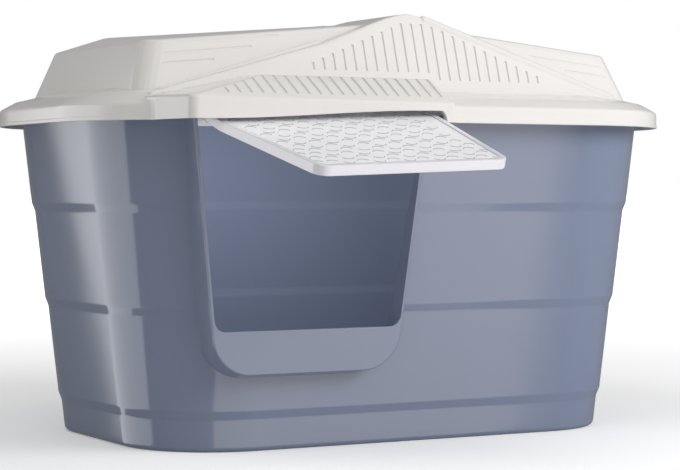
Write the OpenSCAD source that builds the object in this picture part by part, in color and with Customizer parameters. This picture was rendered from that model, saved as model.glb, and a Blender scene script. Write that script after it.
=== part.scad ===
// Covered litter box: a drafted tub with a raised entry porch in its front wall,
// a lift-off roof-shaped lid, and a swing flap hung under the lid's hood.
// X runs across the front, the entry faces -Y, Z is up and the tub's floor rests on Z = 0.

/* [Tub] */
// Width of the tub's base
base_w = 447; // [380:1:480]
// Depth of the tub's base
base_d = 273; // [240:1:290]
// Corner radius of the tub's base
base_r = 81; // [50:1:95]
// How far every wall leans outward per millimetre of height
draft = 0.1135; // [0.08:0.005:0.12]
// Height of the tub to the top of its flange
tub_h = 268; // [255:1:290]
// Wall thickness of the tub
tub_wall = 2.6; // [2:0.1:3.4]
// Thickness of the tub's floor
floor_t = 3; // [2:0.1:5]
// Radius where the walls turn under to the floor
foot_r = 4; // [2:0.5:8]
// Width of the flange that carries the lid
flange_w = 14; // [8:1:15]
// Thickness of the flange
flange_t = 2.6; // [2:0.1:4]
// Height of the lowest ledge's lower edge
ledge_z = 26; // [16:1:34]
// Distance from one ledge to the next
ledge_pitch = 82; // [70:1:84]
// Height of one ledge's sloping strip
ledge_h = 7.2; // [5:0.1:9]
// How far the wall steps outward at a ledge
ledge_step = 1.5; // [1:0.1:2.5]

/* [Entry porch] */
// Distance from the end of the tub's base to the middle of the entry
entry_set = 114; // [111.5:0.5:123]
// Clear width of the entry at the sill
entry_w = 164.8; // [150:0.1:172]
// How far each side of the entry spreads per millimetre of height
entry_spread = 0.1185; // [0.06:0.0005:0.12]
// Height of the sill
sill_z = 98; // [90:1:106]
// Corner radius at the sill
sill_r = 10; // [5:1:16]
// Height of the front panel's lower edge
panel_z = 63; // [56:1:72]
// Radius of the front panel's lower corners
panel_r = 34; // [20:1:40]
// How far the panel's face stands in front of the tub's base, at the sill
panel_out = 27.5; // [23.5:0.5:31.5]
// How far the panel leans outward per millimetre of height
panel_lean = 0.057; // [0.03:0.005:0.08]
// How far the porch's underside drops back to the wall
under_drop = 9; // [5:1:14]
// How far the porch's sides reach in behind the front of the tub's base
porch_run = 28; // [20:1:34]
// How much the porch narrows on each side from its face to its far end
porch_taper = 4; // [2:0.5:5]

/* [Lid] */
// How far the rim stands out past the top of the tub at its ends
rim_over_x = 21.6; // [20:0.1:27]
// How far the rim stands out past the top of the tub at front and back
rim_over_y = 19.1; // [18.1:0.1:24]
// Corner radius of the lid's rim
lid_r = 137; // [125:1:145]
// Wall thickness of the lid
lid_wall = 2.6; // [2:0.1:3.4]
// How far the skirt hangs below the flange's top
skirt_drop = 6; // [4:0.5:10]
// Height of the skirt's upright face
skirt_h = 13.5; // [11:0.5:16]
// Run of the sloping band above the skirt
band_run = 14.5; // [10:0.5:18]
// Rise of the sloping band above the skirt
band_rise = 8; // [5:0.5:10]
// Run of the shallow ledge between the band and the roof, over the lid's front
shelf_run = 38; // [30:1:44]
// Rise of the shallow ledge
shelf_rise = 6; // [3:0.5:8]

/* [Roof] */
// Distance from the rim to the main roof's foot at each end
roof_set_x = 41; // [35:1:60]
// Distance from the rim to the main roof's foot at front and back
roof_set_y = 67.5; // [63:0.5:80]
// How far the roof's long sides lean in
roof_lean_y = 15; // [10:1:22]
// How far the roof's ends lean in
roof_lean_x = 14; // [9:1:22]
// Height of the eaves above the shelf, at the roof's ends
eaves_h = 38; // [30:1:44]
// Rise of the eaves from an end to the middle
eaves_rise = 21; // [12:1:26]
// Rise of the ridge above the eaves
ridge_rise = 7; // [3:0.5:10]
// Rounding of the roof's upright corners
roof_r = 20; // [12:1:28]
// How far the gable's face leans back to its peak
gable_lean = 20; // [12:1:26]
// Height of the gable's peak above the shelf
gable_h = 66; // [60:1:70]
// Distance from the rim's ends to the gable's ends
gable_set = 76; // [66:1:90]
// Width of the rounded peak
peak_w = 16; // [8:1:24]

/* [Hood] */
// Width of the hood over the entry
hood_w = 235; // [225:1:240]
// How far the hood stands out in front of the rim
hood_out = 14.5; // [8:0.5:20]
// Height of the hood's upright face
hood_face_h = 19; // [16:0.5:22]
// Rise of the hood's sloping top
hood_rise = 17; // [12:0.5:20]
// Run of the hood's sloping top
hood_run = 29; // [22:1:34]
// Length of the ramp up to the hood's flat top at its left end
ramp_l = 73; // [55:1:85]
// How far the hood's left end spreads outward towards the roof
hood_spread = 8; // [5:0.5:12]
// Length over which the left end spreads
spread_run = 44; // [34:1:52]
// Height of the arch cut in the hood's lower edge
arch_h = 8; // [4:0.5:10]
// Length of the arch's gentle rise on the left
arch_rise_l = 110; // [80:1:120]
// Length of the arch's tight rise on the right
arch_rise_r = 14; // [8:1:24]

/* [Flap] */
// Distance from the hinge line to the flap's free edge
flap_l = 165; // [150:1:166]
// Gap between the flap and each side of the entry
flap_gap = 3; // [2.4:0.1:5]
// Depth of the flap's frame
flap_t = 8; // [6:0.5:9]
// Width of the flap's frame
flap_rim = 9; // [7:0.5:14]
// Width of the lip that shows around the panel
flap_lip = 5; // [3:0.5:6]
// Thickness of the flap's panel
flap_plate = 2.2; // [1.5:0.1:3]
// How deep the panel's face lies below the lip
flap_sink = 0.8; // [0.4:0.1:1.5]
// Radius of the flap's free corners
flap_r = 12; // [6:1:18]
// Angle of the raised flap below level, as shown
flap_tilt = 15.5; // [14.5:0.5:30]
// Distance of the hinge line in front of the porch's face at the sill
hinge_ahead = 2; // [0:0.5:4]
// Height of the hinge line above the flange's top
hinge_rise = 1.4; // [0:0.2:1.4]
// Radius of the hinge pins
pin_r = 2.4; // [1.8:0.1:2.6]
// Radial running clearance of the pins
pin_clear = 0.06; // [0.03:0.01:0.1]
// Length of a pin
pin_l = 16; // [12:1:20]
// Thickness of a hinge bracket
bracket_t = 6; // [4:0.5:8]
// Clearance between parts that move past each other
side_clear = 0.5; // [0.3:0.1:0.8]

/* [Hidden] */
tub_color = "#7d879d";
lid_color = "#eceae4";
clear_color = "#dfe6ee";
panel_color = "#f4f5f7";
// Thickness of the thin sheets that the hulls span
skin = 0.02;
// Overlap that lets a cut run past a surface
past = 1;
corner_steps = 14;
ledge_count = 3;

// How far the tub's wall stands outside the base outline at height z
function ledge_part(z, i) =
    let (t = (z - ledge_z - i * ledge_pitch) / ledge_h)
    ledge_step * min(1, max(0, t));
function wall_out(z) =
    draft * z + ledge_part(z, 0) + ledge_part(z, 1) + ledge_part(z, 2);

// Sizes that follow from the tub
entry_x = entry_set - base_w / 2;
panel_y = base_d / 2 + panel_out;
hinge_y = panel_y + hinge_ahead;
lid_w = base_w + 2 * (wall_out(tub_h) + rim_over_x);
lid_d = base_d + 2 * (wall_out(tub_h) + rim_over_y);
roof_w = lid_w - 2 * roof_set_x;
roof_d = lid_d - 2 * roof_set_y;
gable_y = lid_d / 2 - band_run - shelf_run;
gable_half = lid_w / 2 - gable_set;

// Heights that the lid and the tub share
seat_z = tub_h;
skirt_z = seat_z - skirt_drop;
band_z = skirt_z + skirt_h;
shelf_z = band_z + band_rise;
roof_z = shelf_z + shelf_rise;
hinge_z = seat_z + hinge_rise;
hood_x0 = entry_x - hood_w / 2 - 5;
hood_x1 = hood_x0 + hood_w;
hood_y = -lid_d / 2 - hood_out;
hood_top_y = hood_y + hood_run;
hood_edge_z = skirt_z + hood_face_h;
hood_top_z = hood_edge_z + hood_rise;

// Flap sizes follow from the entry that it closes
function entry_half(z) = entry_w / 2 + entry_spread * (z - sill_z);
function flap_half(drop) = entry_half(hinge_z - drop) - flap_gap;
bracket_r = 6;
notch_drop = bracket_r + 3;
barrel_half = flap_half(0) - bracket_t - side_clear - 1;
bracket_x = barrel_half + side_clear;
boss_gap = 11;
// Drop of the panel's top edge, clear of the hinge barrel
panel_top = flap_t / 2 + 2;
bracket_top = hinge_z + boss_gap;
// The blocks under the hood stand out this far round the brackets that they carry
boss_over = 2;

// Points of an arc of a rounded corner
function arc(cx, cy, r, a0, a1) =
    [for (i = [0:corner_steps]) let (a = a0 + (a1 - a0) * i / corner_steps)
        [cx + r * cos(a), cy + r * sin(a)]];

// Rounded rectangle with half sizes a and b
function rounded(a, b, r) = concat(
    arc(a - r, b - r, r, 0, 90),
    arc(-a + r, b - r, r, 90, 180),
    arc(-a + r, -b + r, r, 180, 270),
    arc(a - r, -b + r, r, 270, 360));

module sheet(z, a, b, r) {
    translate([0, 0, z])
        linear_extrude(skin)
            polygon(rounded(a, b, r));
}

module tub_sheet(z, grow) {
    sheet(z, base_w / 2 + wall_out(z) + grow, base_d / 2 + wall_out(z) + grow,
          base_r + draft * z + grow);
}

// Heights at which the wall changes direction
ledge_edges = [for (i = [0:ledge_count - 1]) each
    [ledge_z + i * ledge_pitch, ledge_z + i * ledge_pitch + ledge_h]];

// The tub as a solid body, grown or shrunk by grow, from height low to height high
module tub_body(grow, low, high) {
    edges = concat([low + foot_r], ledge_edges, [high - skin]);
    hull() {
        tub_sheet(low, grow - foot_r);
        tub_sheet(low + foot_r * 0.3, grow - foot_r * 0.3);
        tub_sheet(low + foot_r, grow);
    }
    for (i = [0:len(edges) - 2])
        hull() {
            tub_sheet(edges[i], grow);
            tub_sheet(edges[i + 1], grow);
        }
}

// Outline of the entry porch in X and Z, with its lower corners rounded
module porch_outline(foot, side, r, top) {
    lean = atan(entry_spread);
    round_x = entry_half(foot + r) + side - r / cos(lean);
    top_half = entry_half(top) + side;
    polygon(concat(
        arc(entry_x - round_x, foot + r, r, 180 + lean, 270),
        arc(entry_x + round_x, foot + r, r, 270, 360 - lean),
        [[entry_x + top_half, top], [entry_x - top_half, top]]));
}

// A sheet of the outline that stands on the panel's leaning face
module porch_front(foot, side, r, top, back) {
    translate([0, -panel_y + panel_lean * sill_z + back, 0])
        rotate([90 + atan(panel_lean), 0, 0])
            linear_extrude(skin)
                porch_outline(foot, side, r, top);
}

module porch_body(inset, top) {
    hull() {
        porch_front(panel_z + inset, tub_wall - inset, panel_r - inset, top, inset);
        translate([0, -base_d / 2 + porch_run, 0])
            rotate([90, 0, 0])
                linear_extrude(skin)
                    porch_outline(panel_z + inset - under_drop, tub_wall - inset - porch_taper,
                              panel_r - inset, top);
    }
}

// The entry, cut through the front panel only, square to its leaning face
module entry_cut() {
    translate([0, -panel_y + panel_lean * sill_z + tub_wall + past, 0])
        rotate([90 + atan(panel_lean), 0, 0])
            linear_extrude(lid_d)
                porch_outline(sill_z, 0, sill_r, tub_h + 2 * past);
}

module tub() {
    color(tub_color)
        difference() {
            union() {
                tub_body(0, 0, tub_h);
                porch_body(0, tub_h);
                hull() {
                    tub_sheet(tub_h - flange_t, flange_w);
                    tub_sheet(tub_h - skin, flange_w);
                }
            }
            tub_body(-tub_wall, floor_t, tub_h + past);
            porch_body(tub_wall, tub_h + past);
            entry_cut();
        }
}

// Lid rim: skirt, sloping band and shelf, shrunk by inset and lowered by drop
module rim_body(inset, low, drop) {
    a = lid_w / 2 - inset;
    b = lid_d / 2 - inset;
    r = lid_r - inset;
    hull() {
        sheet(low, a, b, r);
        sheet(band_z - drop, a, b, r);
    }
    hull() {
        sheet(band_z - drop, a, b, r);
        sheet(shelf_z - drop, a - band_run, b - band_run, r - band_run);
    }
    hull() {
        sheet(shelf_z - drop, a - band_run, b - band_run, r - band_run);
        sheet(roof_z - drop, a - band_run - shelf_run * 0.7, b - band_run - shelf_run,
              r - band_run - shelf_run);
    }
}

// One half of the main roof, on the side given by s
module roof_half(s, inset, drop) {
    foot_x = roof_w / 2 - inset - roof_r;
    foot_y = roof_d / 2 - inset - roof_r;
    top_x = foot_x - roof_lean_x;
    top_y = foot_y - roof_lean_y;
    end_z = roof_z + eaves_h - drop;
    hull() {
        for (v = [-1, 1]) {
            translate([s * foot_x, v * foot_y, shelf_z - drop])
                cylinder(r = roof_r, h = shelf_rise, $fn = 40);
            translate([s * top_x, v * top_y, end_z - 5])
                cylinder(r1 = roof_r, r2 = roof_r - 5, h = 5, $fn = 40);
            translate([s * skin, v * (foot_y + roof_r - 1), shelf_z - drop])
                cube([skin, 1, 1], center = true);
            translate([0, v * (top_y + roof_r - 5), end_z + eaves_rise])
                cube([skin, 1, 1], center = true);
            translate([0, v * (top_y + roof_r), end_z + eaves_rise - 5])
                cube([skin, 1, 1], center = true);
        }
        translate([s * (top_x + roof_r - 8), 0, end_z + ridge_rise])
            cube([1, 8, skin], center = true);
        translate([0, 0, end_z + eaves_rise + ridge_rise])
            cube([skin, 8, skin], center = true);
    }
}

// A gable on the side given by s, from its leaning face back to the ridge
module gable(s, inset, drop) {
    slope = gable_h / (gable_half - peak_w / 2);
    foot = roof_z - drop - shelf_rise;
    half = gable_half - inset + shelf_rise / slope;
    hull() {
        for (u = [-1, 1]) {
            translate([u * half, s * (gable_y - inset - 1), foot])
                cube([1, 1, 1], center = true);
            translate([u * (peak_w / 2 - inset * 0.3), s * (gable_y - gable_lean - inset - 1),
                       roof_z + gable_h - 1 - drop])
                cube([1, 1, 1], center = true);
            translate([u * half, 0, foot])
                cube([1, 1, 1], center = true);
            translate([u * (peak_w / 2 - inset * 0.3), 0, roof_z + gable_h - 1 - drop])
                cube([1, 1, 1], center = true);
        }
    }
}

// The hood over the entry, with its sloping top and the ramp at its left end
module hood_body(inset, low, drop) {
    x0 = hood_x0 + inset;
    x1 = hood_x1 - inset;
    y = hood_y + inset;
    back = -gable_y + 8;
    top = hood_top_z - drop;
    edge = hood_edge_z - drop;
    hull() {
        for (z = [low, edge - 3])
            translate([0, 0, z])
                linear_extrude(1)
                    polygon([[x0 + 3, y], [x1 - 1, y], [x1, y + 2], [x1, back],
                             [x0 - hood_spread, back], [x0 - hood_spread, y + spread_run],
                             [x0, y + 4]]);
        translate([0, y + 2, edge])
            linear_extrude(skin)
                polygon([[x0 + 4, 0], [x1 - 5, 0], [x1 - 5, 8], [x0 + 2, 14]]);
        translate([0, hood_top_y + inset * 0.5, top])
            linear_extrude(skin)
                polygon([[x0 + ramp_l, 0], [x1 - 6, 0], [x1 - 6, back - hood_top_y - inset],
                         [x0 + ramp_l, back - hood_top_y - inset]]);
    }
}

module lid_body(inset, low, drop) {
    rim_body(inset, low, drop);
    roof_half(-1, inset, drop);
    roof_half(1, inset, drop);
    gable(-1, inset, drop);
    gable(1, inset, drop);
    hood_body(inset, low, drop);
}

// Arch in the hood's lower edge: a gentle rise on the left and a tight one on the right
module arch_cut() {
    x0 = hood_x0 + 6;
    x1 = hood_x1 - 2;
    translate([0, hood_y + 3 * lid_wall, 0])
        rotate([90, 0, 0])
            linear_extrude(4 * lid_wall)
                polygon(concat(
                    [[x0, skirt_z - past]],
                    [for (i = [0:8]) let (t = i / 8)
                        [x0 + arch_rise_l * t, skirt_z + arch_h * sin(90 * t)]],
                    [for (i = [0:8]) let (t = i / 8)
                        [x1 - arch_rise_r * (1 - sin(90 * t)), skirt_z + arch_h * cos(90 * t)]],
                    [[x1, skirt_z - past]]));
}

module hinge_bosses() {
    intersection() {
        for (s = [-1, 1])
            translate([entry_x + s * (bracket_x + bracket_t / 2) - bracket_t / 2 - boss_over,
                       -hinge_y - bracket_r - boss_over, bracket_top])
                cube([bracket_t + 2 * boss_over, 2 * (bracket_r + boss_over),
                      hood_top_z - bracket_top]);
        hood_body(lid_wall / 2, skirt_z, lid_wall / 2);
    }
}

// Ring inside the skirt that rests on the tub's flange
module seat_ring() {
    difference() {
        hull() {
            sheet(seat_z, lid_w / 2 - 1, lid_d / 2 - 1, lid_r - 1);
            sheet(seat_z + lid_wall, lid_w / 2 - 1, lid_d / 2 - 1, lid_r - 1);
        }
        hull() {
            tub_sheet(seat_z - past, 0);
            tub_sheet(seat_z + lid_wall + past, 0);
        }
        hood_body(lid_wall, skirt_z - past, lid_wall);
    }
}

module lid() {
    color(lid_color) {
        difference() {
            lid_body(0, skirt_z, 0);
            lid_body(lid_wall, skirt_z - past, lid_wall);
            arch_cut();
        }
        seat_ring();
        hinge_bosses();
    }
}

module hinge_bracket(s) {
    color(lid_color)
        translate([entry_x + s * (bracket_x + bracket_t / 2), -hinge_y, 0])
            rotate([0, 90, 0])
                translate([0, 0, -bracket_t / 2])
                    difference() {
                        union() {
                            translate([-hinge_z, 0, 0])
                                cylinder(r = bracket_r, h = bracket_t, $fn = 64);
                            translate([-bracket_top, -bracket_r, 0])
                                cube([boss_gap, 2 * bracket_r, bracket_t]);
                        }
                        translate([-hinge_z, 0, -past])
                            cylinder(r = pin_r + pin_clear, h = bracket_t + 2 * past, $fn = 64);
                    }
}

module hinge_bracket_left() {
    hinge_bracket(-1);
}

module hinge_bracket_right() {
    hinge_bracket(1);
}

// Moves a piece drawn hanging straight down from the hinge line to the raised flap
module raised() {
    translate([entry_x, -hinge_y, hinge_z])
        rotate([flap_tilt - 90, 0, 0])
            children();
}

module hinge_pin(s) {
    color(clear_color)
        raised()
            pin_shape(s);
}

module hinge_pin_left() {
    hinge_pin(-1);
}

module hinge_pin_right() {
    hinge_pin(1);
}

// Outline of the flap in X and drop, inset by rim, from the drop top to the free edge
module flap_outline(rim, top) {
    low = flap_l - rim;
    r = max(1, flap_r - rim);
    half_top = flap_half(top) - rim;
    lean = atan(entry_spread);
    round_x = flap_half(low - r) - rim - r / cos(lean);
    polygon(concat(
        [[-half_top, -top]],
        arc(-round_x, -low + r, r, 180 + lean, 270),
        arc(round_x, -low + r, r, 270, 360 - lean),
        [[half_top, -top]]));
}

// Plate from the outline, from depth d0 to depth d1 behind the outer face
module flap_plate_at(rim, top, d0, d1) {
    translate([0, -flap_t / 2 + d0, 0])
        rotate([-90, 0, 0])
            mirror([0, 1, 0])
                linear_extrude(d1 - d0)
                    flap_outline(rim, top);
}

module pin_shape(s) {
    translate([s * (bracket_x + bracket_t - pin_l / 2), 0, 0])
        rotate([0, 90, 0])
            cylinder(r = pin_r, h = pin_l, center = true, $fn = 64);
}

module flap_frame() {
    color(clear_color)
        raised()
            difference() {
                union() {
                    flap_plate_at(0, 0, 0, flap_t);
                    rotate([0, 90, 0])
                        cylinder(r = flap_t / 2, h = 2 * barrel_half, center = true, $fn = 64);
                }
                flap_plate_at(flap_lip, panel_top, -past, flap_sink + flap_plate);
                flap_plate_at(flap_rim, panel_top + flap_rim - flap_lip, 0, flap_t + past);
                for (s = [-1, 1]) {
                    translate([s * (barrel_half + 10) - 10, -flap_t, -notch_drop])
                        cube([20, 2 * flap_t, 2 * notch_drop]);
                    pin_shape(s);
                }
            }
}

module flap_panel() {
    color(panel_color)
        raised()
            flap_plate_at(flap_lip, panel_top, flap_sink, flap_sink + flap_plate);
}

tub();
lid();
hinge_bracket_left();
hinge_bracket_right();
hinge_pin_left();
hinge_pin_right();
flap_frame();
flap_panel();
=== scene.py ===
# %% [markdown]
# # A covered litter box
# The frame comes first. It holds the imported CAD parts in metres, and every piece that
# this lesson makes is put where those parts are.

# %% Load the frame
import math
import bpy
import bmesh
from mathutils import Matrix, Vector


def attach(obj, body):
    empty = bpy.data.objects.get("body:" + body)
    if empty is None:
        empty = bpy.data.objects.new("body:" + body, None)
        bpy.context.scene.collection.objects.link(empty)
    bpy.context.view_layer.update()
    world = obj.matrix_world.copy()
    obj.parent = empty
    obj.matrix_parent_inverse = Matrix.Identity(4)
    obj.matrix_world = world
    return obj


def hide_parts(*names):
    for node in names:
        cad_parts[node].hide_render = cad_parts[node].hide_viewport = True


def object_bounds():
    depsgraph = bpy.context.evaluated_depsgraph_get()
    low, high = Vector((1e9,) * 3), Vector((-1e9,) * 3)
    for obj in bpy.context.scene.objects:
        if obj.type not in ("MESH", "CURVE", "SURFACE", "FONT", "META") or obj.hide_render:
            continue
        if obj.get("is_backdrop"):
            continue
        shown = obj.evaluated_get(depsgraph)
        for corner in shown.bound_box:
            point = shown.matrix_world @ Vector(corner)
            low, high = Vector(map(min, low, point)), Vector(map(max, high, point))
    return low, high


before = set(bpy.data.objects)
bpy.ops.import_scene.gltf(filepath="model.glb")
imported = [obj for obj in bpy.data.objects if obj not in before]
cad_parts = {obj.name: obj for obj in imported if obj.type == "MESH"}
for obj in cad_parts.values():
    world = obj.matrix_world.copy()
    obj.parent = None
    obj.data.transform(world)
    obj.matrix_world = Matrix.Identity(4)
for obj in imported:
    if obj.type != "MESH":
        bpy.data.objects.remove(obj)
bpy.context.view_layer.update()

# %% [markdown]
# ## The camera
# The photograph looks at the front from its left, from a little below the lid's rim.
# A long lens keeps the upright edges nearly parallel. Lens, place and turn were worked
# out from the edges of the tub and the rim, so they are simply written down here.

# %% Camera
MM = 0.001
SENSOR, PHOTO_WIDTH, FOCAL_PIXELS = 36, 680, 2125.4
camera_data = bpy.data.cameras.new("camera")
camera_data.sensor_width = SENSOR
camera_data.lens = FOCAL_PIXELS / PHOTO_WIDTH * SENSOR
camera = bpy.data.objects.new("camera", camera_data)
camera.location = (-0.9000, -1.6462, 0.2097)
camera.rotation_euler = (math.radians(90) - 0.0221, 0, -0.5042)
bpy.context.scene.collection.objects.link(camera)
bpy.context.scene.camera = camera
print("lens", round(camera_data.lens, 1), "mm")

# %% [markdown]
# ## Sizes
# A moulded part follows a few numbers: how far its walls lean, where its ledges are,
# and where the lid sits. They are the values of the CAD source, in millimetres, but for
# the flap's length and its slack turn, which are read from the photograph. Bare numbers
# further down are places on the lid and the tub, in the same millimetres.

# %% Sizes in millimetres
BASE_A, BASE_B, BASE_R = 223.5, 136.5, 81
DRAFT, TUB_H, WALL = 0.1135, 268, 2.6
LEDGES, LEDGE_H, LEDGE_STEP, SPREAD = (26, 108, 190), 7.2, 1.5, 0.1185
ENTRY_X, SILL_Z, PANEL_Z, PANEL_R = -109.5, 98, 63, 34
PANEL_Y, PANEL_LEAN, PORCH_END_Y, PORCH_TAPER = -164, 0.057, -108.5, 4
SKIRT_Z, SHELF_Z = 262, 289.5
RIM_A, RIM_B, RIM_R = 280, 190.5, 137
HINGE_Y, HINGE_Z, TILT, FLAP_GAP = -166, 269.4, 15.5, 3
FLAP_L, FLAP_T, FLAP_R, ASKEW, SLACK = 169, 8, 12, 2.2, 40


def wall_out(z):
    """How far the tub's wall stands outside its base at height z, with softened ledges."""
    total = 0
    nearby = (-0.8, -0.4, 0, 0.4, 0.8)
    for u in nearby:
        steps = sum(min(1, max(0, (z + u - low) / LEDGE_H)) for low in LEDGES)
        total += DRAFT * z + LEDGE_STEP * steps
    return total / len(nearby)


def entry_half(z):
    """Half of the entry's width at height z."""
    return 82.4 + SPREAD * (z - SILL_Z)


def panel_y(z):
    """Where the porch's leaning front panel stands at height z."""
    return PANEL_Y - PANEL_LEAN * (z - SILL_Z)


def flap_half(drop):
    """Half of the flap's width at a distance below the hinge line."""
    return entry_half(HINGE_Z - drop) - FLAP_GAP


print("tub top", round(2 * (BASE_A + wall_out(TUB_H)), 1), "mm wide")

# %% [markdown]
# ## Three ways to make a solid
# Everything here is a moulded shell, so three helpers are enough. `loft` joins rings of
# points into a closed skin, for shapes that go round a corner. `rounded_hull` wraps a
# skin round small balls, which gives flat faces with rounded edges. `carve` adds and
# cuts solids, as a mould maker would, and leaves one clean mesh.

# %% Loft rings into a solid


def arc(cx, cy, r, a0, a1, steps=12):
    """Points of an arc in the plane, angles in degrees."""
    out = []
    for i in range(steps + 1):
        a = math.radians(a0 + (a1 - a0) * i / steps)
        out.append((cx + r * math.cos(a), cy + r * math.sin(a)))
    return out


def rounded(a, b, r, steps=20):
    """Rounded rectangle with half sizes a and b."""
    return (arc(a - r, b - r, r, 0, 90, steps) + arc(r - a, b - r, r, 90, 180, steps)
            + arc(r - a, r - b, r, 180, 270, steps) + arc(a - r, r - b, r, 270, 360, steps))


def as_object(name, bm):
    """A mesh object from bmesh, in metres, with its faces pointing outwards."""
    bmesh.ops.remove_doubles(bm, verts=bm.verts, dist=0.005)
    bmesh.ops.recalc_face_normals(bm, faces=bm.faces)
    bmesh.ops.scale(bm, vec=(MM, MM, MM), verts=bm.verts)
    mesh = bpy.data.meshes.new(name)
    bm.to_mesh(mesh)
    bm.free()
    made = bpy.data.objects.new(name, mesh)
    bpy.context.scene.collection.objects.link(made)
    return made


def loft(name, rings):
    """A closed skin through rings that all have the same number of points."""
    bm = bmesh.new()
    rows = [[bm.verts.new(p) for p in ring] for ring in rings]
    n = len(rows[0])
    for low, high in zip(rows, rows[1:]):
        for i in range(n):
            bm.faces.new((low[i], low[(i + 1) % n], high[(i + 1) % n], high[i]))
    bm.faces.new(rows[0])
    bm.faces.new(rows[-1])
    return as_object(name, bm)


# %% Wrap a skin round balls


def rounded_hull(name, balls, shrink=0.0):
    """The skin round balls (x, y, z, radius). shrink makes the same shape smaller all round."""
    bm = bmesh.new()
    for x, y, z, r in balls:
        r = max(r - shrink, 0.05)
        for i in range(9):
            tilt = math.pi * i / 8
            around = 1 if i in (0, 8) else 16
            for j in range(around):
                a = 2 * math.pi * j / around
                bm.verts.new((x + r * math.sin(tilt) * math.cos(a),
                              y + r * math.sin(tilt) * math.sin(a), z + r * math.cos(tilt)))
    made = bmesh.ops.convex_hull(bm, input=bm.verts)
    spare = set(made["geom_interior"] + made["geom_unused"])
    bmesh.ops.delete(bm, geom=list(spare), context="VERTS")
    bmesh.ops.dissolve_limit(bm, angle_limit=math.radians(0.4), verts=bm.verts, edges=bm.edges)
    return as_object(name, bm)


def balls_round(cx, cy, z, reach, r, a0, a1, steps=6):
    """Balls along an arc, so that an upright corner can be wider than its top edge."""
    return [(x, y, z, r) for x, y in arc(cx, cy, reach - r, a0, a1, steps)]


# %% Add and cut solids


def evaluated(made, name):
    """A plain mesh of the object with its modifiers applied, in place of the object."""
    graph = bpy.context.evaluated_depsgraph_get()
    mesh = bpy.data.meshes.new_from_object(made.evaluated_get(graph), depsgraph=graph)
    made.modifiers.clear()
    made.data = mesh
    made.name = mesh.name = name
    return made


def carve(name, base, *steps):
    """Applies steps of (boolean operation, solid) to base and removes the tools."""
    for kind, tool in steps:
        cut = base.modifiers.new("cut", "BOOLEAN")
        cut.operation, cut.object, cut.solver = kind, tool, "EXACT"
    evaluated(base, name)
    for _, tool in steps:
        bpy.data.objects.remove(tool)
    print(name, len(base.data.polygons), "faces")
    return base


def soften(made, angle=32):
    """Smooth shading that keeps real creases, with flat faces left flat."""
    made.data.polygons.foreach_set("use_smooth", [True] * len(made.data.polygons))
    made.data.set_sharp_from_angle(angle=math.radians(angle))
    weigh = made.modifiers.new("weigh", "WEIGHTED_NORMAL")
    weigh.keep_sharp = True
    weigh.weight = 100
    return evaluated(made, made.name)


# %% [markdown]
# ## The tub
# The tub is one moulding: drafted walls, three ledges that stiffen it, a flange for the
# lid, and a porch that carries the entry. A ring of points for every height where the
# wall changes direction gives clean highlights, which stacked blocks would not. The
# inside is the same set of rings, one wall thickness further in.

# %% Tub walls


def tub_ring(out, z):
    """A ring round the tub at height z, out millimetres outside its base."""
    r = BASE_R + DRAFT * z + out - wall_out(z)
    return [(x, y, z) for x, y in rounded(BASE_A + out, BASE_B + out, r)]


wall_heights = [4, 10]
for low in LEDGES:
    for edge in (low, low + LEDGE_H):
        wall_heights += [edge + u for u in (-0.9, -0.45, 0, 0.45, 0.9)]
    wall_heights.append(low + 40)
wall_heights = sorted(wall_heights)


def foot_rings(floor_z, r, wall):
    """Rings round the tub's lower edge, which is rounded by r, wall millimetres further in."""
    rings = []
    for i in range(5):
        a = math.radians(22.5 * i)
        z = floor_z + r * (1 - math.cos(a))
        rings.append(tub_ring(wall_out(z) - wall - r * (1 - math.sin(a)), z))
    return rings


outside = foot_rings(0, 4, 0)
outside += [tub_ring(wall_out(z), z) for z in wall_heights[1:]]
# The flange that carries the lid, with soft edges
outside += [tub_ring(wall_out(z), z) for z in (262, 264.6)]
outside += [tub_ring(wall_out(265.4) + u, 265.4) for u in (0.8, 13.2)]
outside += [tub_ring(wall_out(265.4) + 14, z) for z in (266.2, 267.2)]
outside.append(tub_ring(wall_out(TUB_H) + 13.2, TUB_H))
tub = loft("tub_shell", outside)

inside = foot_rings(3, 5, WALL)
inside += [tub_ring(wall_out(z) - WALL, z) for z in wall_heights[1:]]
inside += [tub_ring(wall_out(TUB_H) - WALL, z) for z in (TUB_H, 272)]
tub_hollow = loft("tub_hollow", inside)
print("tub rings", len(outside), "outside and", len(inside), "inside")

# %% [markdown]
# The porch stands forward of the front wall, so that the entry's frame is upright while
# the wall leans. Its front panel leans out a little, and its underside slopes back to
# the wall. It is lofted from front to back, and its front edges are rounded.

# %% Entry porch


def porch_outline(foot, side, r, top):
    """A front view of the porch or the entry: upright sides that spread, and round lower corners."""
    lean = math.atan(SPREAD)
    middle = entry_half(foot + r) + side - r / math.cos(lean)
    high, turn = entry_half(top) + side, math.degrees(lean)
    return (arc(ENTRY_X - middle, foot + r, r, 180 + turn, 270)
            + arc(ENTRY_X + middle, foot + r, r, 270, 360 - turn)
            + [(ENTRY_X + high, top), (ENTRY_X - high, top)])


def porch_ring(inset, depth, top=TUB_H):
    """A ring on the porch's leaning face, moved back by depth."""
    ring = porch_outline(PANEL_Z + inset, WALL - inset, PANEL_R - inset, top)
    return [(x, panel_y(z) + depth, z) for x, z in ring]


def porch_end(inset, top=TUB_H):
    """The porch's far end, inside the tub, lower and narrower than its face."""
    foot, side = PANEL_Z + inset - 9, WALL - inset - PORCH_TAPER
    return [(x, PORCH_END_Y, z) for x, z in porch_outline(foot, side, PANEL_R - inset, top)]


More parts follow.
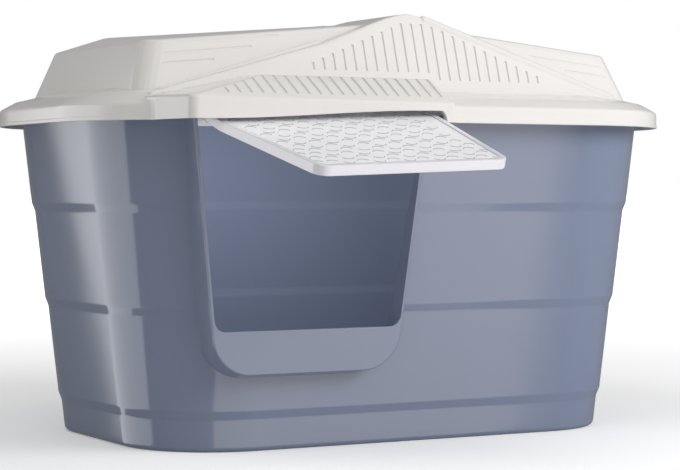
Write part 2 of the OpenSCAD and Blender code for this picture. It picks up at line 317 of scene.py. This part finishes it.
soft_edge = [porch_ring(*e) for e in ((1.2, 0), (0.6, 0.16), (0.16, 0.6), (0, 1.2))]
porch = loft("porch", soft_edge + [porch_end(0)])
porch_hollow = loft("porch_hollow", [porch_ring(WALL, WALL, 272), porch_end(WALL, 272)])
entry = porch_outline(SILL_Z, 0, 10, 272)
entry_cut = loft("entry_cut", [[(x, panel_y(z) + depth, z) for x, z in entry]
                               for depth in (-60, WALL + 1)])
tub = carve("tub_shell", tub, ("UNION", porch), ("DIFFERENCE", tub_hollow),
            ("DIFFERENCE", porch_hollow), ("DIFFERENCE", entry_cut))
soften(tub)

# %% [markdown]
# ## The lid
# The lid is a roof: a rim with an upright skirt and a sloping band, a long roof with
# rounded ends, a gable on the front and the back, and a hood over the entry. The rim
# follows rounded corners, so it is lofted. The roofs are flat faces with soft edges,
# so they are hulls round balls. The same shapes, one wall smaller, hollow it out.

# %% Rim


def rim_ring(inset_x, z, inset_y=None):
    """A ring round the lid's rim at height z, moved in from its widest outline."""
    inset_y = inset_x if inset_y is None else inset_y
    r = RIM_R - max(inset_x, inset_y)
    return [(x, y, z) for x, y in rounded(RIM_A - inset_x, RIM_B - inset_y, r, 24)]


# Pairs of inset and height: the skirt's lip, the upright skirt, the sloping band
rim_profile = [(0.4, 262), (-0.3, 262.3), (-0.5, 262.8), (-0.5, 264.4), (-0.2, 264.9), (0, 265.2),
               (0, 272.6), (0.25, 274.2), (1.0, 275.5), (2.2, 276.5), (12.4, 282.1), (13.8, 282.8),
               (15.4, 283.3), (17.2, 283.6)]
hollow_profile = [(WALL, 258), (WALL, 272.2), (3.4, 273.9), (14.6, 280.3), (18.2, 281.3)]
rim = loft("rim", [rim_ring(i, z) for i, z in rim_profile] + [rim_ring(41.1, SHELF_Z, 52.5)])
rim_hollow = loft("rim_hollow", [rim_ring(i, z) for i, z in hollow_profile]
                  + [rim_ring(42, SHELF_Z - WALL, 53.4)])

# %% Roof, gables and hood


def roof_half(name, side, shrink=0.0):
    """One half of the long roof. Its eaves rise to the middle, and its end leans in."""
    a0 = 0 if side > 0 else 90
    balls = []
    # v picks the back and the front. Each line of balls is one corner or edge
    for v in (1, -1):
        turn = a0 if v > 0 else (270 if side > 0 else 180)
        balls += balls_round(side * 219, v * 103, 282, 20, 3, turn, turn + 90)
        balls += balls_round(side * 205, v * 88, 322.5, 20, 5, turn, turn + 90)
        balls += [(0, v * 103, 343.5, 5), (0, v * 120, 282, 3), (0, v * 4, 347.5, 5)]
        balls += [(side * 213, v * 4, 329.5, 5), (side * 209, v * 66, 326.8, 5)]
    return rounded_hull(name, balls, shrink)


# Ridge lines of the gable and of its flare on the left, as pairs of x and height
gable_line = [(-75, 327.5), (-25, 346.3), (-12, 350.8), (0, 354.0), (8, 355.0), (16, 353.9),
              (24, 351.7), (204, 289.4), (219, 284)]
flare_line = [(-75, 327.5), (-222, 288), (-236, 284)]


def gable(name, side, line, shrink=0.0, foot=275):
    """A gable whose face leans back towards its peak, and whose ridge runs to the roof."""
    balls = []
    for x, z in line + [(line[0][0], foot), (line[-1][0], foot)]:
        face = 138 - 20 * (z - SHELF_Z) / 65
        inward = 3 if x > 0 else -3
        for y in (face - 3, 29):
            balls.append((x - inward if abs(x) > 150 else x, side * y, z - 3, 3))
    return rounded_hull(name, balls, shrink)


def hood(name, shrink=0.0):
    """The hood over the entry, with a sloping top and a ramp at its left end."""
    low = 250
    balls = [(x, y, z, 3) for z in (low, 277.4) for x, y in arc(-223, -196, 6, 180, 270, 6)]
    balls += [(0, -202, low, 3), (-2, -201.5, 275.5, 3.5), (0, -133, low, 3), (0, -133, 276, 3)]
    balls += [(-237, y, z, 3) for y in (-133, -158) for z in (low, 278)]
    balls += [(x, y, z, 3) for y, z in ((-173.6, 294.6), (-133, 294.8)) for x in (-156, -6.5)]
    return rounded_hull(name, balls, shrink)


def edge_bead(name, ends, r=4.2):
    """A raised bead along a gable's edge."""
    return rounded_hull(name, [(*p, r) for p in ends])


def roof_blocks(shrink, tag):
    """All the blocks that stand on the rim, or the same blocks made smaller to hollow them."""
    blocks = [roof_half("roof_left" + tag, -1, shrink), roof_half("roof_right" + tag, 1, shrink)]
    blocks.append(hood("hood" + tag, shrink))
    for side in (-1, 1):
        blocks.append(gable("gable" + tag, side, gable_line, shrink))
        blocks.append(gable("flare" + tag, side, flare_line, shrink))
    return blocks


outer = [("UNION", b) for b in roof_blocks(0, "")]
for side in (-1, 1):
    right_edge = [(24, side * 115.6, 349.8), (203, side * 134.4, 287.4)]
    left_edge = [(-75, side * 114, 328.4), (-221, side * 126, 286)]
    outer.append(("UNION", edge_bead("bead", right_edge)))
    outer.append(("UNION", edge_bead("ridge", left_edge, 2.4)))
lid = carve("lid_shell", rim, *outer)
inner = [("UNION", b) for b in roof_blocks(WALL, "_hollow")]
lid_hollow = carve("lid_hollow", rim_hollow, *inner)

# %% [markdown]
# The hood's lower edge is cut in a long low arch, so that the flap can stand open under
# it. It rises more gently than the CAD's, as the photograph shows, which the flap's turn
# leaves room for. A ring inside the skirt rests on the tub's flange, and two blocks under
# the hood hold the hinge brackets.

# %% Arch, seat ring and hinge blocks
ARCH_X0, ARCH_X1, ARCH_H, ARCH_END = -226, -7, 9, 6
gentle = ARCH_X1 - ARCH_END - ARCH_X0
arch = [(ARCH_X0, 240), (ARCH_X0, SKIRT_Z - 0.1)]
for t in range(24):
    arch.append((ARCH_X0 + gentle * t / 24, SKIRT_Z + ARCH_H / 2 * (1 - math.cos(math.pi * t / 24))))
for t in range(13):
    a = math.radians(7.5 * t)
    arch.append((ARCH_X1 - ARCH_END * (1 - math.sin(a)), SKIRT_Z + ARCH_H * math.cos(a)))
arch += [(ARCH_X1, SKIRT_Z - 0.1), (ARCH_X1, 240)]
arch_cut = loft("arch_cut", [[(x, y, z) for x, z in arch] for y in (-215, -196.5)])
around = [(-300, -260), (300, -260), (300, 260), (-300, 260)]
below = loft("below", [[(x, y, z) for x, y in around] for z in (230, SKIRT_Z)])
lid = carve("lid_shell", lid, ("DIFFERENCE", lid_hollow), ("DIFFERENCE", arch_cut),
            ("DIFFERENCE", below))

seat = loft("seat", [rim_ring(1.4, 268), rim_ring(1.4, 270.6)])
seat_hole = loft("seat_hole", [tub_ring(wall_out(TUB_H), z) for z in (266, 273)])
seat_gap = hood("seat_gap", WALL)
seat = carve("seat", seat, ("DIFFERENCE", seat_hole), ("DIFFERENCE", seat_gap))
BRACKET_T, SIDE_CLEAR, BARREL_INSET = 6, 0.5, 7.5
barrel_half = flap_half(0) - BARREL_INSET
bracket_mid = barrel_half + SIDE_CLEAR + BRACKET_T / 2
blocks = []
for side in (-1, 1):
    x = ENTRY_X + side * bracket_mid
    corners = [(x + u, HINGE_Y + v) for u, v in ((-5, -8), (5, -8), (5, 8), (-5, 8))]
    block = loft("block", [[(px, py, z) for px, py in corners] for z in (280.4, 298)])
    blocks.append(("UNION", carve("block", block, ("INTERSECT", hood("hood_core", WALL / 2)))))
lid = carve("lid_shell", lid, ("UNION", seat), *blocks)

# %% [markdown]
# ## Grooves in the lid
# The gables, the hood and the wings carry rows of fine grooves. They repeat, so one
# Geometry Nodes tree makes them all: a line of points, a straight stroke on each point,
# and a round bar along each stroke. A stroke is as long as its place between the two
# ends of the row allows. The bars are then cut out of the lid.

# %% A tree that makes a row of groove bars


def add(tree, kind, links=None, **settings):
    """Adds a node, sets its properties and default values, and links its inputs."""
    made = tree.nodes.new(kind)
    for key, value in settings.items():
        if hasattr(made, key):
            setattr(made, key, value)
    for key, source in (links or {}).items():
        socket = made.inputs[key]
        if isinstance(source, bpy.types.NodeSocket):
            tree.links.new(source, socket)
        else:
            socket.default_value = source
    return made


def new_tree(name, inputs):
    """An empty geometry tree with named inputs. Returns the tree, its input node and identifiers."""
    tree = bpy.data.node_groups.new(name, "GeometryNodeTree")
    tree.interface.new_socket("Geometry", in_out="INPUT", socket_type="NodeSocketGeometry")
    tree.interface.new_socket("Geometry", in_out="OUTPUT", socket_type="NodeSocketGeometry")
    ids = {}
    for label, kind, value in inputs:
        socket = tree.interface.new_socket(label, in_out="INPUT", socket_type="NodeSocket" + kind)
        if value is not None:
            socket.default_value = value
        ids[label] = socket.identifier
    return tree, add(tree, "NodeGroupInput"), ids


def maths(tree, operation, *values):
    """A maths node on values or other nodes' results. Returns its own result."""
    return add(tree, "ShaderNodeMath", dict(enumerate(values)), operation=operation).outputs[0]


BAR_SIDES = 10
groove_tree, group, groove_ids = new_tree("groove_row", [
    ("Count", "Int", 10), ("Start", "Vector", (0, 0, 0)), ("Step", "Vector", (0.01, 0, 0)),
    ("Direction", "Vector", (0, 0, 1)), ("Longest", "Float", 0.04), ("First Length", "Float", 0.01),
    ("Length Gain", "Float", 0.004), ("Last Length", "Float", 1.0), ("Last Gain", "Float", 0.0),
    ("Bar Radius", "Float", 0.001), ("Material", "Material", None)])
g = group.outputs
row = add(groove_tree, "GeometryNodeMeshLine",
          {"Count": g["Count"], "Start Location": g["Start"], "Offset": g["Step"]})
place = add(groove_tree, "GeometryNodeInputIndex").outputs[0]
from_left = maths(groove_tree, "MULTIPLY_ADD", place, g["Length Gain"], g["First Length"])
last = maths(groove_tree, "SUBTRACT", g["Count"], 1.0)
left_over = maths(groove_tree, "SUBTRACT", last, place)
from_right = maths(groove_tree, "MULTIPLY_ADD", left_over, g["Last Gain"], g["Last Length"])
shorter = maths(groove_tree, "MINIMUM", from_left, from_right)
length = maths(groove_tree, "MINIMUM", shorter, g["Longest"])
scale = add(groove_tree, "ShaderNodeCombineXYZ", {"X": 1.0, "Y": 1.0, "Z": length})
turn = add(groove_tree, "FunctionNodeAlignRotationToVector", {"Vector": g["Direction"]}, axis="Z")
stroke = add(groove_tree, "GeometryNodeCurvePrimitiveLine", {"Start": (0, 0, 0), "End": (0, 0, 1)})
strokes = add(groove_tree, "GeometryNodeInstanceOnPoints",
              {"Points": row.outputs["Mesh"], "Instance": stroke.outputs[0],
               "Rotation": turn.outputs[0], "Scale": scale.outputs[0]})
real = add(groove_tree, "GeometryNodeRealizeInstances", {"Geometry": strokes.outputs[0]})
ring = add(groove_tree, "GeometryNodeCurvePrimitiveCircle",
           {"Resolution": BAR_SIDES, "Radius": g["Bar Radius"]})
bars = add(groove_tree, "GeometryNodeCurveToMesh",
           {"Curve": real.outputs[0], "Profile Curve": ring.outputs[0], "Fill Caps": True})
done = add(groove_tree, "GeometryNodeRealizeInstances", {"Geometry": bars.outputs[0]})
painted = add(groove_tree, "GeometryNodeSetMaterial",
              {"Geometry": done.outputs[0], "Material": g["Material"]})
add(groove_tree, "NodeGroupOutput", {0: painted.outputs[0]})


def grown(name, tree, ids, values):
    """Runs a tree on an empty mesh and returns the result as a plain object."""
    made = bpy.data.objects.new(name, bpy.data.meshes.new(name))
    bpy.context.scene.collection.objects.link(made)
    run = made.modifiers.new("tree", "NODES")
    run.node_group = tree
    for label, value in values.items():
        run[ids[label]] = value
    evaluated(made, name)
    bm = bmesh.new()
    bm.from_mesh(made.data)
    bmesh.ops.recalc_face_normals(bm, faces=bm.faces)
    bm.to_mesh(made.data)
    bm.free()
    return made


# %% Cut the rows
rows = []


def groove_row(count, start, step, direction, longest, first, gain, last=1000, last_gain=0, radius=1.2):
    """One row of bars. Lengths grow by gain from the first bar and by last_gain from the last."""
    values = {"Count": count, "Start": [v * MM for v in start], "Step": [v * MM for v in step],
              "Direction": direction, "Longest": longest * MM, "First Length": first * MM,
              "Length Gain": gain * MM, "Last Length": last * MM, "Last Gain": last_gain * MM,
              "Bar Radius": radius * MM}
    rows.append(grown("row", groove_tree, groove_ids, values))


def wing_face(z):
    """How far the roof's long sides stand from the middle at height z."""
    return 122.6 - 15 * (z - 285) / 40.5


groove_row(12, (-88.9, -132.4, 305.5), (9.83, 0, 0), (0, 20, 65), 43, 6, 4.1)
groove_row(11, (29.1, -134.25, 299.5), (9.83, 0, 0), (0, 20, 65), 47, 1000, 0, 6, 4.2)
groove_row(25, (-118, 134.25, 299.5), (9.83, 0, 0), (0, -20, 65), 46, 8, 4.1, 8, 4.1)
groove_row(20, (-198, -199.6, 282.6), (9.99, 0.11, 0), (0, 29, 17.9), 29, 6.5, 5.8)
for side in (-1, 1):
    for z, reach in ((324, 106), (316, 80), (308, 45)):
        for v in (-1, 1):
            start = (side * 214, v * wing_face(z), z)
            groove_row(1, start, (1, 0, 0), (-side, 0, 0.1), reach, reach, 0, radius=1.1)
print("rows", len(rows), "bars", sum(len(r.data.polygons) for r in rows) // (BAR_SIDES + 2))
bars = bmesh.new()
for r in rows:
    bars.from_mesh(r.data)
    bpy.data.objects.remove(r)
bmesh.ops.scale(bars, vec=(1 / MM, 1 / MM, 1 / MM), verts=bars.verts)
lid = carve("lid_shell", lid, ("DIFFERENCE", as_object("bars", bars)))
soften(lid)

# %% [markdown]
# ## The flap
# The flap is a shallow frame of milky clear plastic with a white panel set in its face.
# Both are drawn hanging straight down from the hinge and are then swung up to where the
# photograph shows them, as on the real hinge.

# %% Flap frame and panel


def askew(made):
    """Turns a hanging piece a little, below the stiff hinge. The flap stands open with slack."""
    bm = bmesh.new()
    bm.from_mesh(made.data)
    for drop in range(5, SLACK + 5, 5):
        bmesh.ops.bisect_plane(bm, geom=list(bm.verts) + list(bm.edges) + list(bm.faces), dist=1e-7,
                               plane_co=(0, 0, -drop * MM), plane_no=(0, 0, 1))
    bm.to_mesh(made.data)
    bm.free()
    for v in made.data.vertices:
        out = min(1, max(0, -v.co.z / MM / SLACK))
        v.co.y -= v.co.x * math.tan(math.radians(ASKEW)) * out * out * (3 - 2 * out)


swing = (Matrix.Translation(Vector((ENTRY_X, HINGE_Y, HINGE_Z)) * MM)
         @ Matrix.Rotation(math.radians(TILT - 90), 4, "X"))


def flap_outline(rim, top):
    """The flap's outline, inset by rim, from the drop top down to its free edge."""
    low, r, lean = FLAP_L - rim, max(1, FLAP_R - rim), math.atan(SPREAD)
    middle, turn = flap_half(low - r) - rim - r / math.cos(lean), math.degrees(lean)
    half_top = flap_half(top) - rim
    return ([(-half_top, -top)] + arc(-middle, -low + r, r, 180 + turn, 270)
            + arc(middle, -low + r, r, 270, 360 - turn) + [(half_top, -top)])


def flap_slab(name, rim, top, depths):
    """A slab of the flap's outline from rings (extra inset, depth behind the front face)."""
    return loft(name, [[(x, d - FLAP_T / 2, z) for x, z in flap_outline(rim + e, top + e)]
                       for e, d in depths])


flap = flap_slab("flap_frame_clear", 0, 0, [(0.8, 0), (0.25, 0.25), (0, 0.8), (0, FLAP_T - 0.8),
                                            (0.25, FLAP_T - 0.25), (0.8, FLAP_T)])
round_about = [math.tau * i / 48 for i in range(48)]
barrel = loft("barrel", [[(x, FLAP_T / 2 * math.cos(a), FLAP_T / 2 * math.sin(a)) for a in round_about]
                         for x in (-barrel_half, barrel_half)])
steps = [("UNION", barrel), ("DIFFERENCE", flap_slab("recess", 5, 6, [(0, -1), (0, 3)])),
         ("DIFFERENCE", flap_slab("window", 9, 10, [(0, 2), (0, 9)]))]
for side in (-1, 1):
    x = side * (barrel_half + 10)
    notch = [[(x + u, v, z) for u, v in ((-10, -9), (10, -9), (10, 9), (-10, 9))] for z in (-9, 9)]
    steps.append(("DIFFERENCE", loft("notch", notch)))
flap = carve("flap_frame_clear", flap, *steps)
edge = flap.modifiers.new("edge", "BEVEL")
edge.width, edge.segments = 0.35 * MM, 2
edge.limit_method, edge.angle_limit = "ANGLE", math.radians(50)
evaluated(flap, "flap_frame_clear")
askew(flap)
flap.data.transform(swing)
soften(flap)

panel = flap_slab("flap_panel_white", 5, 6, [(0.5, 0.8), (0.12, 0.92), (0, 1.3), (0, 3.0)])
askew(panel)
panel.data.transform(swing)
soften(panel)
print("flap hangs from", (ENTRY_X, HINGE_Y, HINGE_Z))

# %% [markdown]
# ## The pattern on the panel
# The panel is covered with small grey strokes. Here they are short open arcs in
# staggered rows, every other column turned over. A second tree sets them out on a grid
# and leaves out those that would cross the panel's edge.

# %% Arcs on the panel
arc_tree, group, arc_ids = new_tree("arc_grid", [
    ("Columns", "Int", 13), ("Rows", "Int", 14), ("Column Pitch", "Float", 0.0128),
    ("Row Pitch", "Float", 0.0104), ("Arc Radius", "Float", 0.0047), ("Stroke", "Float", 0.0003),
    ("Spread", "Float", 1.3), ("Half Width", "Float", 0.0796), ("Lean", "Float", SPREAD),
    ("Material", "Material", None)])
g = group.outputs
width = maths(arc_tree, "MULTIPLY", g["Columns"], g["Column Pitch"])
height = maths(arc_tree, "MULTIPLY", g["Rows"], g["Row Pitch"])
grid = add(arc_tree, "GeometryNodeMeshGrid", {"Size X": width, "Size Y": height,
                                              "Vertices X": g["Columns"], "Vertices Y": g["Rows"]})
where = add(arc_tree, "GeometryNodeInputPosition").outputs[0]
number = add(arc_tree, "GeometryNodeInputIndex").outputs[0]
column = maths(arc_tree, "FLOOR", maths(arc_tree, "DIVIDE", number, g["Rows"]))
line = maths(arc_tree, "MODULO", number, g["Rows"])
odd = maths(arc_tree, "MODULO", line, 2.0)
odd_column = maths(arc_tree, "MODULO", column, 2.0)
stagger = maths(arc_tree, "MULTIPLY", odd, g["Column Pitch"])
half_way = maths(arc_tree, "MULTIPLY", stagger, 0.5)
xyz = add(arc_tree, "ShaderNodeSeparateXYZ", {0: where}).outputs
across = maths(arc_tree, "ADD", xyz["X"], half_way)
# The flap widens towards its hinge, so the columns fan out with it
fan = maths(arc_tree, "MULTIPLY_ADD", xyz["Y"], g["Spread"], 1.0)
fanned = maths(arc_tree, "MULTIPLY", across, fan)
spot = add(arc_tree, "ShaderNodeCombineXYZ", {"X": fanned, "Y": xyz["Y"], "Z": 0.0})
points = add(arc_tree, "GeometryNodeSetPosition",
             {"Geometry": grid.outputs["Mesh"], "Position": spot.outputs[0]})
half = maths(arc_tree, "MULTIPLY_ADD", xyz["Y"], g["Lean"], g["Half Width"])
aside = maths(arc_tree, "ABSOLUTE", fanned)
outside = maths(arc_tree, "GREATER_THAN", aside, half)
inside = add(arc_tree, "GeometryNodeDeleteGeometry",
             {"Geometry": points.outputs[0], "Selection": outside}, domain="POINT")
tilt = maths(arc_tree, "MULTIPLY", odd_column, math.pi)
turn = add(arc_tree, "ShaderNodeCombineXYZ", {"Z": tilt})
bow = add(arc_tree, "GeometryNodeCurveArc",
          {"Resolution": 9, "Radius": g["Arc Radius"], "Start Angle": math.radians(10),
           "Sweep Angle": math.radians(160)})
pen = add(arc_tree, "GeometryNodeCurvePrimitiveCircle", {"Resolution": 4, "Radius": g["Stroke"]})
bows = add(arc_tree, "GeometryNodeCurveToMesh",
           {"Curve": bow.outputs[0], "Profile Curve": pen.outputs[0], "Fill Caps": True})
spread = add(arc_tree, "GeometryNodeInstanceOnPoints",
             {"Points": inside.outputs[0], "Instance": bows.outputs[0], "Rotation": turn.outputs[0]})
real = add(arc_tree, "GeometryNodeRealizeInstances", {"Geometry": spread.outputs[0]})
painted = add(arc_tree, "GeometryNodeSetMaterial",
              {"Geometry": real.outputs[0], "Material": g["Material"]})
add(arc_tree, "NodeGroupOutput", {0: painted.outputs[0]})
arcs = grown("panel_arcs", arc_tree, arc_ids, {})
flat = Matrix.Translation(Vector((0, -3.15, -84)) * MM) @ Matrix.Rotation(math.radians(90), 4, "X")
arcs.data.transform(flat)
askew(arcs)
arcs.data.transform(swing)
print("arcs", len(arcs.data.polygons), "faces")

# %% [markdown]
# ## Finishes
# Colours are written as they look on screen and turned to linear light by one function.
# A Bevel node catches the light on the thin moulded edges that are too fine to model.

# %% Colour and node helpers


def linear(code):
    """An sRGB hex colour as linear RGBA."""
    out = []
    for i in (1, 3, 5):
        c = int(code[i:i + 2], 16) / 255
        out.append(c / 12.92 if c <= 0.04045 else ((c + 0.055) / 1.055) ** 2.4)
    return (*out, 1.0)


def moulded(name, colour, roughness, ior=1.49, edge=0.7, grain=0.02, **more):
    """A moulded plastic: a faint long-wave ripple, a little uneven gloss, and soft edges."""
    made = bpy.data.materials.new(name)
    made.use_nodes = True
    tree = made.node_tree
    shader = tree.nodes["Principled BSDF"]
    shader.inputs["Base Color"].default_value = linear(colour)
    shader.inputs["IOR"].default_value = ior
    for key, value in more.items():
        shader.inputs[key.replace("_", " ")].default_value = value
    here = add(tree, "ShaderNodeTexCoord")
    cloud = add(tree, "ShaderNodeTexNoise",
                {"Vector": here.outputs["Object"], "Scale": 9.0, "Detail": 2.0})
    gloss = add(tree, "ShaderNodeMapRange", {"Value": cloud.outputs["Fac"],
                                              "To Min": roughness - 0.03, "To Max": roughness + 0.03})
    tree.links.new(gloss.outputs[0], shader.inputs["Roughness"])
    skin = add(tree, "ShaderNodeTexNoise",
               {"Vector": here.outputs["Object"], "Scale": 420.0, "Detail": 1.0})
    soft = add(tree, "ShaderNodeBevel", {"Radius": edge * MM}, samples=4)
    relief = add(tree, "ShaderNodeBump", {"Height": skin.outputs["Fac"], "Normal": soft.outputs[0],
                                          "Strength": grain, "Distance": 0.0004})
    tree.links.new(relief.outputs[0], shader.inputs["Normal"])
    return made


# %% [markdown]
# The tub is injection-moulded polypropylene in a blue grey, with a soft gloss. The lid
# is the same plastic in ivory white. The flap's frame is clear polystyrene with a milky
# tint, and its panel is white with printed grey strokes.

# %% Plastics
tub_plastic = moulded("polypropylene_blue_grey", "#7F899F", 0.11)
lid_plastic = moulded("polypropylene_ivory", "#E8E5E2", 0.22)
clear_plastic = moulded("polystyrene_milky_clear", "#F8F7FD", 0.16, ior=1.59, Transmission_Weight=0.15)
panel_plastic = moulded("polystyrene_white", "#FAFAFC", 0.3)
ink = moulded("printed_grey_strokes", "#8B8E98", 0.5, grain=0.0)
for made, paint in ((tub, tub_plastic), (lid, lid_plastic), (flap, clear_plastic),
                    (panel, panel_plastic), (arcs, ink)):
    made.data.materials.clear()
    made.data.materials.append(paint)
for name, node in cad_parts.items():
    paint = clear_plastic if name.startswith("hinge_pin") else lid_plastic
    node.data.materials.clear()
    node.data.materials.append(paint)

# %% [markdown]
# ## What rides on what
# Each new piece takes the place of its CAD node and moves with that node's body. The
# brackets and pins stay as the CAD made them, because their shape is already right.

# %% Bodies
for made, body, node in ((tub, "tub_body", "tub"), (lid, "lid_body", "lid"),
                         (flap, "flap_body", "flap_frame"), (panel, "flap_body", "flap_panel")):
    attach(made, body)
    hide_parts(node)
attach(arcs, "flap_body")

# %% [markdown]
# ## Floor and light
# The photograph is a bright studio picture: a white floor that runs into a white
# background, a soft light from the front and right, and upright reflectors that draw
# long bands down the tub's glossy corner and front. The floor keeps the object's shadow,
# glows white towards the camera further out, and lets mirror rays through, so that the
# tub mirrors the two reflectors and not the floor. Two small lamps under the lid stand in
# for the daylight that comes through it.

# %% Floor
FLOOR_HALF = 60000
floor_mesh = bmesh.new()
bmesh.ops.create_grid(floor_mesh, x_segments=1, y_segments=1, size=FLOOR_HALF)
floor = as_object("floor", floor_mesh)
floor_paint = bpy.data.materials.new("studio_floor_white")
floor_paint.use_nodes = True
tree = floor_paint.node_tree
matt = tree.nodes["Principled BSDF"]
matt.inputs["Base Color"].default_value = linear("#F2F2F2")
matt.inputs["Roughness"].default_value = 0.8
matt.inputs["Specular IOR Level"].default_value = 0.0
seen = add(tree, "ShaderNodeLightPath")
here = add(tree, "ShaderNodeTexCoord")
far = add(tree, "ShaderNodeVectorMath", {0: here.outputs["Object"]}, operation="LENGTH")
fade = add(tree, "ShaderNodeMapRange", {"Value": far.outputs["Value"], "From Min": 0.45,
                                        "From Max": 2.4, "To Min": 0.22, "To Max": 1.0})
camera_only = maths(tree, "MULTIPLY", fade.outputs[0], seen.outputs["Is Camera Ray"])
glow = add(tree, "ShaderNodeEmission", {"Color": (1, 1, 1, 1), "Strength": camera_only})
both = add(tree, "ShaderNodeAddShader", {0: matt.outputs[0], 1: glow.outputs[0]})
through = add(tree, "ShaderNodeBsdfTransparent")
pick = add(tree, "ShaderNodeMixShader",
           {0: seen.outputs["Is Glossy Ray"], 1: both.outputs[0], 2: through.outputs[0]})
tree.links.new(pick.outputs[0], tree.nodes["Material Output"].inputs["Surface"])
floor.data.materials.append(floor_paint)
floor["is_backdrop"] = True

# %% World and lamps
world = bpy.data.worlds.new("studio")
bpy.context.scene.world = world
world.use_nodes = True
tree = world.node_tree
seen = add(tree, "ShaderNodeLightPath")
ambient = tree.nodes["Background"]
ambient.inputs["Color"].default_value = (1, 1, 1, 1)
ambient.inputs["Strength"].default_value = 0.45
dim = add(tree, "ShaderNodeBackground", {"Color": (1, 1, 1, 1), "Strength": 0.2})
white = add(tree, "ShaderNodeBackground", {"Color": (1, 1, 1, 1), "Strength": 1.0})
mirror = add(tree, "ShaderNodeMixShader",
             {0: seen.outputs["Is Glossy Ray"], 1: ambient.outputs[0], 2: dim.outputs[0]})
clear = maths(tree, "MAXIMUM", seen.outputs["Is Camera Ray"], seen.outputs["Is Transmission Ray"])
pick = add(tree, "ShaderNodeMixShader", {0: clear, 1: mirror.outputs[0], 2: white.outputs[0]})
tree.links.new(pick.outputs[0], tree.nodes["World Output"].inputs["Surface"])


def soft_box(name, place, target, width, height, power, reflector=False, colour="#FFFFFF"):
    """A rectangular lamp that points at a target, in metres. A reflector is seen only in mirrors."""
    lamp = bpy.data.lights.new(name, "AREA")
    lamp.shape, lamp.size, lamp.size_y, lamp.energy = "RECTANGLE", width, height, power
    lamp.color = linear(colour)[:3]
    made = bpy.data.objects.new(name, lamp)
    made.location = place
    made.rotation_euler = (Vector(target) - Vector(place)).to_track_quat("-Z", "Y").to_euler()
    made.visible_camera = made.visible_transmission = False
    made.visible_glossy, made.visible_diffuse = reflector, not reflector
    bpy.context.scene.collection.objects.link(made)


soft_box("key", (0.78, -1.22, 0.82), (0.05, -0.1, 0.12), 0.9, 0.7, 12.7)
soft_box("left_fill", (-0.7, -0.45, 1.6), (0, 0, 0.25), 0.9, 0.9, 4.3)
soft_box("left_reflector", (-0.646, 0.272, 0.15), (-0.256, -0.028, 0.15), 0.625, 0.75, 3.2,
         reflector=True)
soft_box("front_reflector", (0.052, -0.96, -0.1), (0.02, -0.1, -0.1), 1.255, 0.8, 6.3,
         reflector=True, colour="#FFF0E2")
soft_box("inner_glow", (-0.10, -0.05, 0.285), (-0.03, 0.15, 0.17), 0.2, 0.1, 0.28)
soft_box("inner_fill", (0.02, 0, 0.30), (0.02, 0, 0), 0.4, 0.2, 0.2)
bpy.context.scene.view_settings.view_transform = "Standard"

# %% [markdown]
# ## The finished look's box
# The box round everything that renders is printed at the end. The finished look must
# stay inside the CAD part's box.

# %% Write the sizes and finish
low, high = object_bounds()
print("visual box", [round(v, 4) for v in (*low, *high)])
